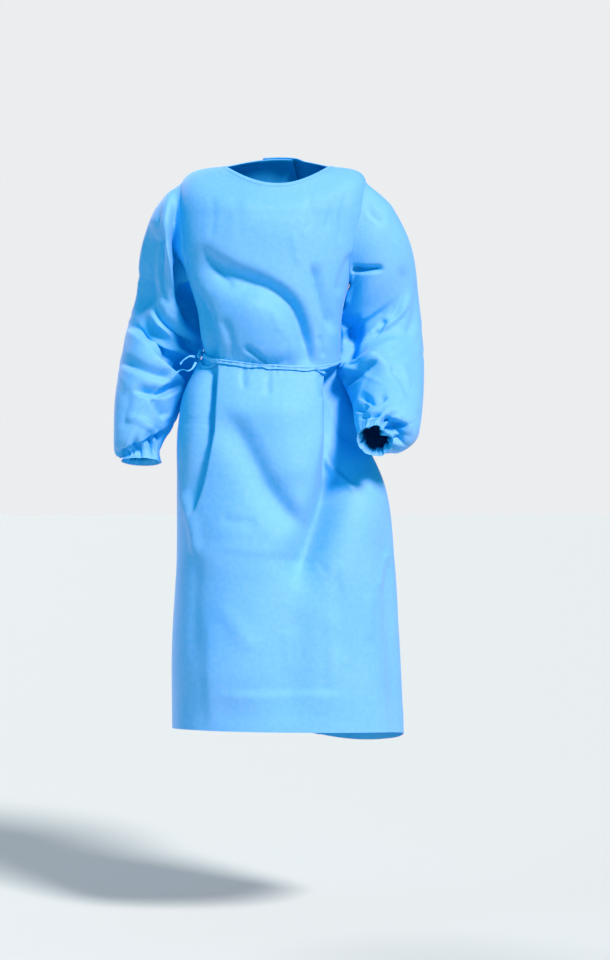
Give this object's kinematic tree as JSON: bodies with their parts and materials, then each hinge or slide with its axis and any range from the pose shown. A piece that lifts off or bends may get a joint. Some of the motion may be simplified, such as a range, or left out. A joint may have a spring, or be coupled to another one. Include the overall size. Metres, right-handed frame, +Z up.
{
  "type": "isolation gown",
  "caption": "Worn long-sleeved isolation gown with round neck, elastic cuffs, side-tied waist and overlapping open back.",
  "frame": {"origin": "midway between the neck ends of the two shoulder seams, where the wearer's shoulders carry the gown", "axes": "+Z up along the gown, +X to the wearer's left, the front faces -Y"},
  "size_m": [0.623, 0.4131, 1.1903],
  "materials": {
    "cloth": "matte nonwoven",
    "tape": "matte nonwoven"
  },
  "bodies": {
    "root": {"front_panel": "cloth", "back_panel_left": "cloth", "back_panel_right": "cloth", "sleeve_left": "cloth", "sleeve_right": "cloth", "cuff_left": "cloth", "cuff_right": "cloth", "neck_binding": "tape", "waist_tie": "tape", "waist_knot": "tape", "tie_end_upper": "tape", "tie_end_lower": "tape"}
  },
  "joints": []
}
